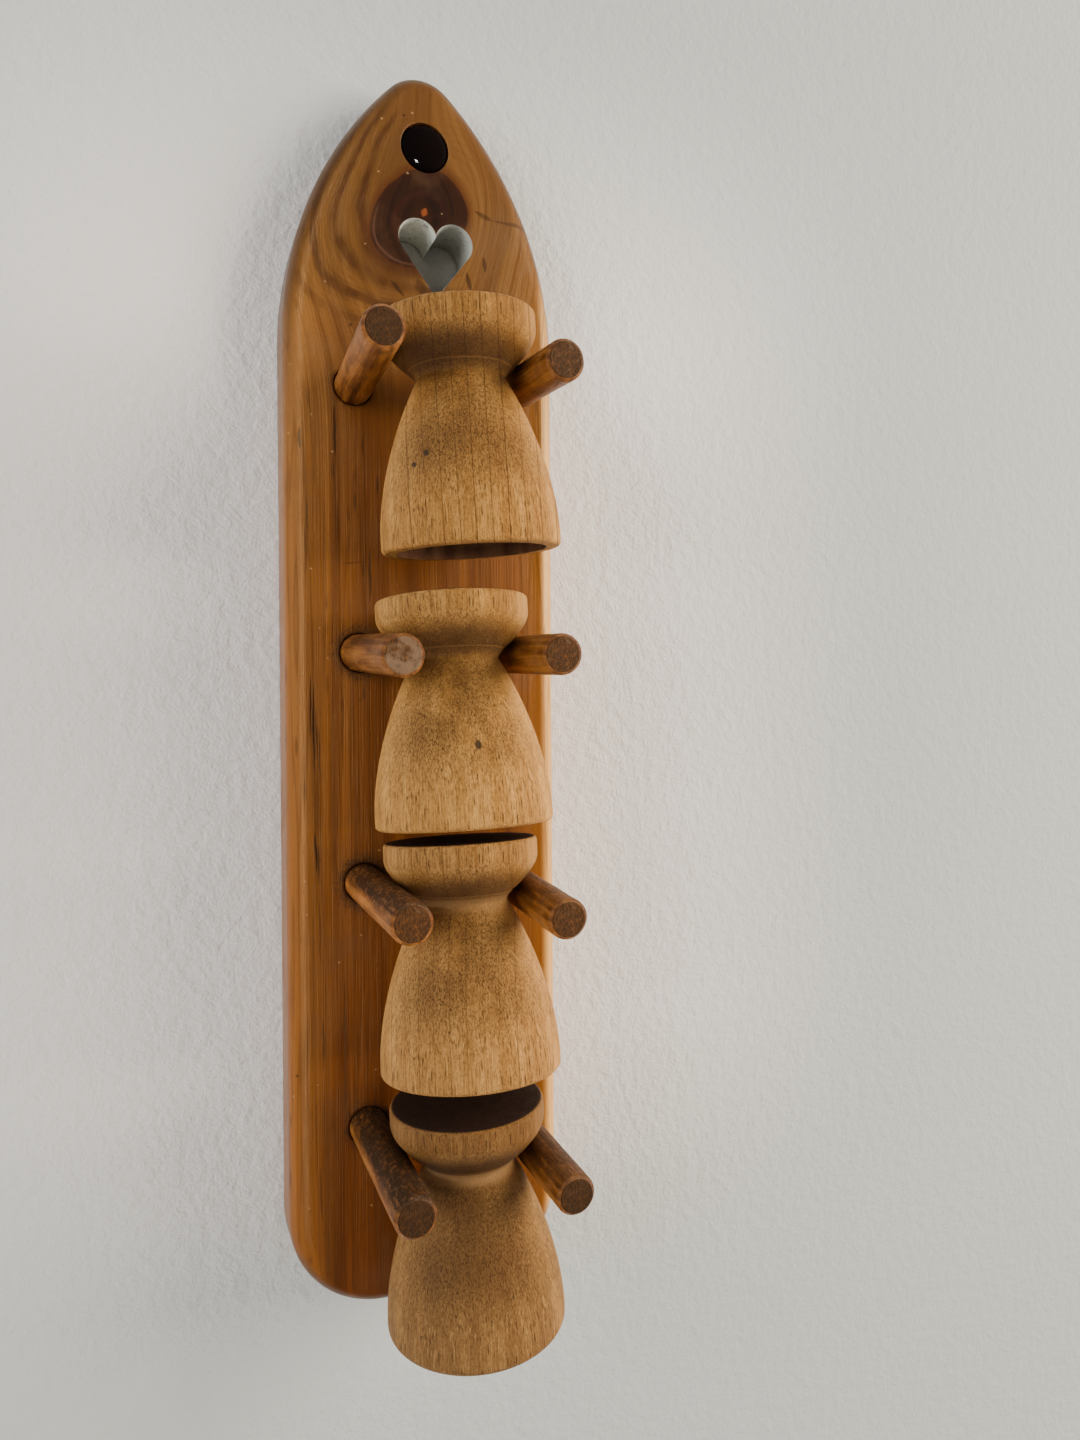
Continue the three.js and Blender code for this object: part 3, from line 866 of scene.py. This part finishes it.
def board_edge():
    """Points on the board's outline with their outward directions, anticlockwise from its foot."""
    half, low, corner = BOARD_HALF_WIDTH, BOARD_BOTTOM, CORNER_RADIUS
    found = []

    def sweep(centre, radius, start, end, step):
        steps = max(4, math.ceil(math.radians(abs(end - start)) * radius / step))
        for k in range(steps + 1):
            t = math.radians(start + (end - start) * k / steps)
            way = Vector((math.cos(t), math.sin(t)))
            found.append((Vector(centre) + way * radius, way))

    def run(a, b, way, step=5.0):
        a, b = Vector(a), Vector(b)
        steps = math.ceil((b - a).length / step)
        for k in range(1, steps):
            found.append((a.lerp(b, k / steps), Vector(way)))

    run((corner - half, low), (half - corner, low), (0, -1), 4.0)
    sweep((half - corner, low + corner), corner, -90, 0, 1.2)
    run((half, low + corner), (half, RIGHT_ARCH["centre"][1]), (1, 0))
    sweep(RIGHT_ARCH["centre"], RIGHT_ARCH["radius"], 0, RIGHT_TURN, 2.0)
    sweep(TIP_CENTRE, TIP_RADIUS, RIGHT_TURN + TIP_BLEND, LEFT_TURN - TIP_BLEND, 0.9)
    sweep(LEFT_ARCH["centre"], LEFT_ARCH["radius"], LEFT_TURN, 180, 2.0)
    run((-half, LEFT_ARCH["centre"][1]), (-half, low + corner), (-1, 0))
    sweep((corner - half, low + corner), corner, 180, 270, 1.2)
    return found


def edge_ring(edge, inset, y):
    """The board's outline, drawn in by inset, at depth y."""
    return [(p.x - n.x * inset, y, p.y - n.y * inset) for p, n in edge]


def heart_edge(grow, y):
    """The heart's outline, grown into the wood all round."""
    radius = LOBE_RADIUS + grow
    half = LOBE_HALF_PITCH
    slant = math.hypot(half, HEART_DROP)
    side = math.atan2(HEART_DROP, half) - math.asin(LOBE_RADIUS / slant)
    drop = HEART_DROP + grow / math.cos(side)
    cleft = math.degrees(math.acos(half / radius))
    start = math.degrees(side) - 90
    points = arc((HEART_X + half, HEART_Z), radius, start, 180 - cleft, 36)
    points += arc((HEART_X - half, HEART_Z), radius, cleft, 180 - start, 36)[1:]
    tip = Vector((HEART_X, HEART_Z - drop))
    first, last = Vector(points[0]), Vector(points[-1])
    points += [last.lerp(tip, k / 10) for k in range(1, 10)]
    points += [tip]
    points += [tip.lerp(first, k / 10) for k in range(1, 10)]
    return [(px, y, pz) for px, pz in points]


def peg_place(name):
    """A peg's matrix, in millimetres: its origin is at its foot, and +Z runs out along it."""
    x, z, skew, droop = PEGS[name]
    turn = spin(skew, "Z") @ spin(droop, "X")
    return Matrix.Translation((x, BOARD_FRONT, z)) @ turn @ spin(90, "X")


def socket_rings(name):
    """The rings of a peg's socket, from the board's face to its floor, and the floor's middle."""
    place = peg_place(name)
    axis = place.to_3x3() @ Vector((0, 0, 1))
    rings = []
    for grow, depth in SANDED_SOCKET:
        ring = []
        for a, b in circle(SOCKET_RADIUS + grow, SOCKET_SIDES):
            p = place @ Vector((a, b, 0))
            ring.append(tuple(p + axis * ((BOARD_FRONT + depth - p.y) / axis.y)))
        rings.append(ring)
    floor = [(a, b, -SOCKET_DEPTH) for a, b in circle(SOCKET_RADIUS, SOCKET_SIDES)]
    rings.append([tuple(place @ Vector(p)) for p in floor])
    return rings, tuple(place @ Vector((0, 0, -SOCKET_DEPTH)))


def pine_backboard():
    shell = Shell()
    edge = board_edge()
    sides = [(BACK_EASE, 0.0), (0.15, -0.15), (0.0, -BACK_EASE), (0.0, -4.0), (0.0, -8.0)]
    round_steps = 14
    for k in range(round_steps + 1):
        t = math.pi / 2 * k / round_steps
        y = BOARD_FRONT + FRONT_ROUND * (1 - math.sin(t))
        sides.append((FRONT_ROUND * (1 - math.cos(t)), y))
    outer = [shell.ring(edge_ring(edge, inset, y)) for inset, y in sides]
    shell.bands(outer)
    # The heart is cut right through, and painted inside its sanded front edge.
    cuts = [(grow, BOARD_FRONT + depth) for grow, depth in SANDED]
    cuts += [(0.0, -12.0), (0.0, -6.0), (0.0, -0.3), (0.2, 0.0)]
    heart = [shell.ring(heart_edge(grow, y)) for grow, y in cuts]
    shell.bands(heart[:2], 0)
    shell.bands(heart[1:], 1)
    cuts = [(HOLE_RADIUS + grow, BOARD_FRONT + depth) for grow, depth in SANDED]
    cuts += [(HOLE_RADIUS, HOLE_FLOOR)]
    cuts += [(BORE_RADIUS, HOLE_FLOOR), (BORE_RADIUS, -0.3), (BORE_RADIUS + 0.2, 0.0)]
    hole = []
    for radius, y in cuts:
        hole.append(shell.ring([(a, y, HOLE_Z + b) for a, b in circle(radius, HOLE_SIDES)]))
    shell.bands(hole)
    fronts = [outer[-1], heart[0], hole[0]]
    for name in PEGS:
        rings, floor = socket_rings(name)
        made = [shell.ring(r) for r in rings]
        shell.bands(made)
        shell.cone(made[-1], floor)
        fronts.append(made[0])
    # Points just inside each edge keep the flat faces even in the light.
    close = 0.7
    support = [(p[0], p[2]) for p in edge_ring(edge, FRONT_ROUND + close, 0)]
    support += [(p[0], p[2]) for p in edge_ring(edge, FRONT_ROUND + 5.0, 0)[::3]]
    for loop in fronts[1:]:
        centre = sum((Vector(shell.points[i]) for i in loop), Vector()) / len(loop)
        for i in loop[::2]:
            p = Vector(shell.points[i])
            p += (p - centre).normalized() * close
            support.append((p.x, p.z))
    shell.plate(fronts, support, BOARD_FRONT)
    support = [(p[0], p[2]) for p in edge_ring(edge, BACK_EASE + close, 0)]
    shell.plate([outer[0], heart[-1], hole[-1]], support, 0.0)
    return shell.build("pine_backboard", [PINE, PAINT])


# ---- Hanging screw ----


def screw_dome():
    head, length = SCREW_HEAD_RADIUS, SHANK_LENGTH
    profile = [(0, -length), (0.25, -length + 0.4), (SHANK_RADIUS, -length + SHANK_POINT)]
    steps = THREAD_TURNS * len(THREAD)
    for k in range(steps + 1):
        height = (-length + SHANK_POINT) + k / steps * (length - SHANK_POINT - THREAD_STOP)
        profile.append((SHANK_RADIUS + THREAD[k % len(THREAD)], height + 0.01))
    profile += [(SHANK_RADIUS, -2.6), (SHANK_RADIUS, 0.0)]
    profile += [(head - 0.3, 0.0), (head, 0.3), (head, SCREW_HEAD_RIM)]
    dome, dome_steps = SCREW_HEAD_TOP - SCREW_DOME_START, 24
    for k in range(1, dome_steps):
        t = math.pi / 2 * k / dome_steps
        profile.append((head * math.cos(t), SCREW_DOME_START + dome * math.sin(t)))
    profile.append((0, SCREW_HEAD_TOP))
    shell = Shell()
    turned(shell, thinned(profile), SCREW_SIDES)
    place = Matrix.Translation((0, (HOLE_FLOOR - SEAT_GAP) * MM, HOLE_Z * MM)) @ spin(90, "X")
    return shell.build("domed_hanging_screw", [ENAMEL], place)


# ---- Pegs ----


def dowel_peg(name, finish, seed):
    shell = Shell()
    radius, end, shoulder = PEG_RADIUS, SEAT_GAP - SOCKET_DEPTH, PEG_REACH - PEG_CHAMFER
    profile = [(0, end), (5.6, end), (radius, end + 0.4)]
    steps = 56
    start, stop = -SOCKET_DEPTH + 1.5, shoulder - 0.35
    profile += [(radius, start + (stop - start) * k / steps) for k in range(steps + 1)]
    profile += [(radius - 0.05, shoulder), (radius - 0.3, shoulder + 0.32)]
    profile += [(radius - 0.62, shoulder + 0.62), (radius - 0.95, PEG_REACH - 0.12)]
    profile += [(r, PEG_REACH) for r in (radius - 1.15, radius - 1.4, 3.0, 1.5, 0)]
    turned(shell, profile, PEG_SIDES)
    # Hand-cut dowels aren't quite round or straight: they lose up to a tenth of a millimetre.
    for i, (x, y, z) in enumerate(shell.points):
        out = math.hypot(x, y)
        if out > 4 and z > 0.5:
            dent = noise.noise(Vector((x / 5, y / 5, z / 16 + seed * 7)))
            dent += 0.5 * noise.noise(Vector((x / 2, y / 2, z / 4 + seed * 11)))
            keep = 1 - max(0.0, dent) * PEG_DENT / out
            shell.points[i] = (x * keep, y * keep, z)
    place = peg_place(name)
    place.translation *= MM
    return shell.build("dowel_" + name, [finish], place)


# ---- Egg cups ----


def cup_profile(rim):
    """From the top of the egg hollow, down to the mouth, round the rim, up the belly to the waist,
    out under the foot and over its flat top. rim is how much the outside of the rim is rounded."""
    points = [(0.0, HOLLOW_DEPTH)]
    for k in range(1, HOLLOW_STEPS + 1):
        t = math.pi / 2 * (1 - k / HOLLOW_STEPS)
        points.append((HOLLOW_RADIUS * math.cos(t), HOLLOW_DEPTH * math.sin(t)))
    points += [(22.7, 0.0), (23.4, 0.0)]
    points += arc((MOUTH_RADIUS - rim, rim), rim, -90, 0, 12)
    waist, shoulder = (WAIST_RADIUS, WAIST_Z), (SHOULDER_RADIUS, SHOULDER_Z)
    points += bezier((MOUTH_RADIUS, 3), (MOUTH_RADIUS, 22.505), (17.48, 42.95), waist, 60)
    for r, z in bezier(waist, (12.806, 51.96), (17.657, 54.2), shoulder, 60):
        cut = GROOVE_DEPTH * math.exp(-(((z - GROOVE_Z) / GROOVE_WIDTH) ** 2))
        points.append((r - cut * 0.6, z + cut * 0.6))
    for k in range(1, 13):
        t = k / 12
        r = (1 - t) ** 2 * SHOULDER_RADIUS + 2 * (1 - t) * t * FOOT_RADIUS + t * t * FOOT_RADIUS
        z = (1 - t) ** 2 * SHOULDER_Z + 2 * (1 - t) * t * 61.2 + t * t * 64.0
        points.append((r, z))
    points += [(FOOT_RADIUS, 66.0)]
    points += arc((FOOT_RADIUS - FOOT_EDGE, CUP_HEIGHT - FOOT_EDGE), FOOT_EDGE, 0, 90, 10)
    points += [(r, CUP_HEIGHT) for r in (21.4, 16.0, 8.0, 0.0)]
    return thinned(points)


def beech_cup(name, finish):
    x, y, z, lean, nod, rim = CUPS[name]
    shell = Shell()
    turned(shell, cup_profile(rim), CUP_SIDES, inner=HOLLOW_STEPS)
    place = Matrix.Translation(Vector((x, y, z)) * MM) @ spin(-nod, "X") @ spin(-lean, "Y")
    return shell.build("beech_" + name, [finish, HOLLOW], place)


# ---- The rack, put together ----


def stand_for(piece, node, body):
    """The piece stands for a solid, which is hidden, and moves with its body."""
    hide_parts(node)
    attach(piece, body)


board = pine_backboard()
stand_for(board, "backboard", "rack")
screw = screw_dome()
stand_for(screw, "hanging_screw", "rack")

pegs = []
for seed, (name, look) in enumerate(PEG_LOOKS.items()):
    pegs.append(dowel_peg(name, stained_dowel("stained_dowel_" + name[4:], *look[:4]), seed))
    stand_for(pegs[-1], name, "rack")

# Each cup's pale and deep tone, dirt with its painted shade, painted waist highlight, heart, years
# and spots.
CUP_WOOD = [
    (tone(203, 147, 76), tone(173, 119, 55), 1.15, 0.0, (371, -149, 0), 1.0,
     [(-45, 26.0, 0.9), (-56, 23.0, 0.7)]),
    (tone(212, 155, 82), tone(184, 129, 62), 0.95, 0.0, (300, 160, 0), 0.25, [(-5, 24.0, 1.2)]),
    (tone(202, 147, 80), tone(174, 122, 60), 1.05, 0.25, (-371, 149, 0), 0.6, [(55, 40.0, 1.0)]),
    (tone(156, 114, 64), tone(126, 90, 48), 1.4, 0.42, (300, 40, 0), 0.4, [(45, 44.0, 0.9)]),
]
for number, wood in enumerate(CUP_WOOD, 1):
    name = f"egg_cup_{number}"
    stand_for(beech_cup(name, beech(f"beech_{number}", *wood)), name, f"cup_{number}")


# ---- Wall, floor, light and camera ----


def wall_plaster():
    """Rough plaster. From behind, it lets eye and light through to the back of the rack."""
    finish, shader, place = new_finish("wall_plaster")
    tree = place.tree
    height = cloud(place, 0.22, 4, 0.6) + cloud(place, 0.9, 3, 0.6) * 0.25
    tint = mixed(cloud(place, 0.004, 2), tone(179, 180, 176), tone(184, 186, 181))
    # Painted light makes the plaster lighter close to the rack, and painted shade makes it a little
    # darker far above and below it.
    x, _, z = split(place)
    near = fall(abs(x), 60.0, 220.0) * fall(abs(z), 100.0, 260.0)
    tint = mixed(near, tint, tone(230, 223, 217))
    tint = mixed(rise(abs(z), 150.0, 300.0), tint, (0.93, 0.94, 0.94, 1), "MULTIPLY")
    # Painted shade on the wall where the heart leaves it open.
    away = distance(stretch(place, 1, 0, 1), (HEART_X, 0, HEART_Z - 6.0))
    tint = mixed(fall(away, 16.0, 26.0), tint, tone(168, 166, 160))
    feed(shader, Base_Color=tint, Roughness=0.9, Normal=relief(height, 0.9))
    behind = Flow(put(tree, "NewGeometry").outputs["Backfacing"])
    depth = Flow(put(tree, "LightPath").outputs["Transparent Depth"])
    see = calc("MAXIMUM", behind, calc("GREATER_THAN", depth, 0.5))
    clear = Flow(put(tree, "BsdfTransparent").outputs[0])
    both = reckon("MixShader", {0: see, 1: Flow(shader.outputs[0]), 2: clear})
    output = next(n for n in tree.nodes if n.bl_idname == "ShaderNodeOutputMaterial")
    join(output, {"Surface": both})
    return finish


def pale_floor():
    finish, shader, place = new_finish("pale_floor")
    tint = mixed(cloud(place, 0.01, 3), tone(200, 198, 194), tone(212, 210, 206))
    feed(shader, Base_Color=tint, Roughness=0.7)
    return finish


def slab(name, corners, finish):
    mesh = bpy.data.meshes.new(name)
    mesh.from_pydata(corners, [], [(0, 1, 2, 3)])
    mesh.materials.append(finish)
    made = show(name, mesh)
    return made


# The stage, in metres. The wall stands 0.4 mm behind the board.
WALL_Y, FLOOR_Z, SIDE, TOP = 0.0004, -0.9, 3, 2.6
NEAR_Y, FAR_Y = -4, 2
low = [(x, WALL_Y, FLOOR_Z) for x in (-SIDE, SIDE)]
high = [(x, WALL_Y, TOP) for x in (SIDE, -SIDE)]
slab("backdrop_wall", low + high, wall_plaster())
near = [(x, NEAR_Y, FLOOR_Z) for x in (-SIDE, SIDE)]
far = [(x, FAR_Y, FLOOR_Z) for x in (SIDE, -SIDE)]
floor = slab("floor", near + far, pale_floor())
floor.visible_glossy = False


def soft_light(name, at, towards, size, power, colour=(1, 1, 1)):
    """A square light: its size in metres, its power in watts."""
    lamp = bpy.data.lights.new(name, "AREA")
    lamp.size = size
    lamp.energy = power
    lamp.color = colour
    made = show(name, lamp)
    made.visible_camera = False
    made.location = at
    made.rotation_mode = "QUATERNION"
    made.rotation_quaternion = (Vector(towards) - Vector(at)).to_track_quat("-Z", "Y")
    return made


def gleam_on(group, pieces, lamps):
    """Keeps the gleam of these lights, without their diffuse light, for these pieces alone."""
    lit = bpy.data.collections.new(group)
    for piece in pieces:
        lit.objects.link(piece)
    for lamp in lamps:
        lamp.visible_diffuse = False
        lamp.light_linking.receiver_collection = lit


WARM = (1.0, 0.93, 0.81)
COOL = (0.95, 0.975, 1.0)
AMBER = (1.0, 0.8, 0.64)
MIDDLE = (0, 0, 0)
right_window = soft_light("right_window", (1.7, -0.9, 0.5), MIDDLE, 1.4, 101, WARM)
left_window = soft_light("left_window", (-1.7, -0.9, 0.3), MIDDLE, 1.2, 46, COOL)
soft_light("back_light", (-0.6, 1.4, 0.8), MIDDLE, 1.2, 16)
right_window.visible_glossy = False
left_window.visible_glossy = False

# The gleam of a window and a doorway on the varnish, and a glint on the screw's head.
right_gleam = soft_light("right_gleam", (1.7, -0.9, 0.5), MIDDLE, 0.8, 78, WARM)
door_gleam = soft_light("door_gleam", (-0.5, -1.5, 0.3), (0, 0, 0.3), 0.2, 34, AMBER)
door_gleam.data.shape = "RECTANGLE"
door_gleam.data.size_y = 2.4
gleam_on("varnished_only", [board, *pegs], [right_gleam, door_gleam])
near_gleam = soft_light("near_gleam", (-0.15, -0.40, -0.03), (0, 0, 0.15), 0.07, 34)
gleam_on("screw_head_only", [screw], [near_gleam])


def room_light():
    """Soft light from all round the room: bright at both sides, dimmer straight ahead."""
    room = bpy.data.worlds.new("room")
    room.use_nodes = True
    tree = room.node_tree
    x, _, z = split(Flow(put(tree, "TexCoord").outputs["Generated"]))
    bright = calc("MAXIMUM", rise(abs(x), 0.25, 0.85), rise(z, 0.2, 0.9) * 0.5)
    ahead = mixed(rise(z, -0.35, 0.4), grey(0.085), (0.19, 0.19, 0.192, 1))
    join(tree.nodes["Background"], {"Color": mixed(bright, ahead, (0.46, 0.465, 0.475, 1))})
    bpy.context.scene.world = room


room_light()


def camera_turn(yaw, pitch, roll):
    """The camera's axes, for a line of sight turned right, down and round by these degrees."""
    y, p, r = (math.radians(a) for a in (yaw, pitch, roll))
    ahead = Vector((math.sin(y), math.cos(y), 0))
    right = Vector((math.cos(y), -math.sin(y), 0))
    down = Vector((0, 0, -1))
    ahead, down = ahead * math.cos(p) - down * math.sin(p), down * math.cos(p) + ahead * math.sin(p)
    right, down = right * math.cos(r) + down * math.sin(r), down * math.cos(r) - right * math.sin(r)
    return Matrix((right, -down, -ahead)).transposed().to_4x4()


lens = bpy.data.cameras.new("camera")
lens.sensor_width = 36
lens.lens = 25.011
lens.shift_x = 0.0007
lens.shift_y = 0.0008
lens.clip_start = 0.01
eye = Matrix.Translation(Vector((-89.381, -337.536, -9.271)) * MM)
bpy.context.scene.camera = show("camera", lens, eye @ camera_turn(21.896, -0.412, 0.370))
